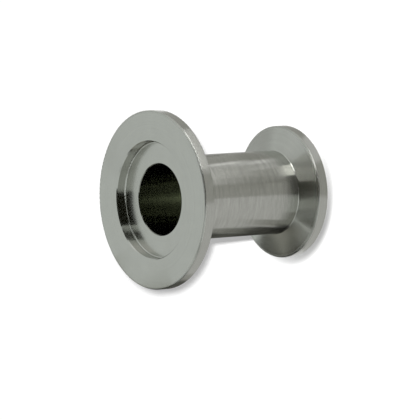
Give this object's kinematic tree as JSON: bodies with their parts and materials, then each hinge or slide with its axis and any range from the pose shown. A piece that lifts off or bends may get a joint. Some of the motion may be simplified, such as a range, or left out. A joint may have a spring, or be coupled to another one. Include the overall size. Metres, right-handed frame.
{
  "type": "vacuum reducer",
  "caption": "Straight stainless steel vacuum reducer: a plain tube between a large and a small quick-release clamp flange, each with a centring recess.",
  "frame": {"origin": "centre of the sealing face of the small flange, which the piece stands on", "axes": "+Z along the bore, from the small flange to the large one; X and Y are any two square directions, because the piece is round"},
  "size_m": [0.04, 0.04, 0.0385],
  "materials": {
    "stainless_steel": "fine turned: faced flats and cones nearly mirror-bright, tube satin with rings round it"
  },
  "bodies": {
    "root": {"reducer_body": "stainless_steel"}
  },
  "joints": []
}
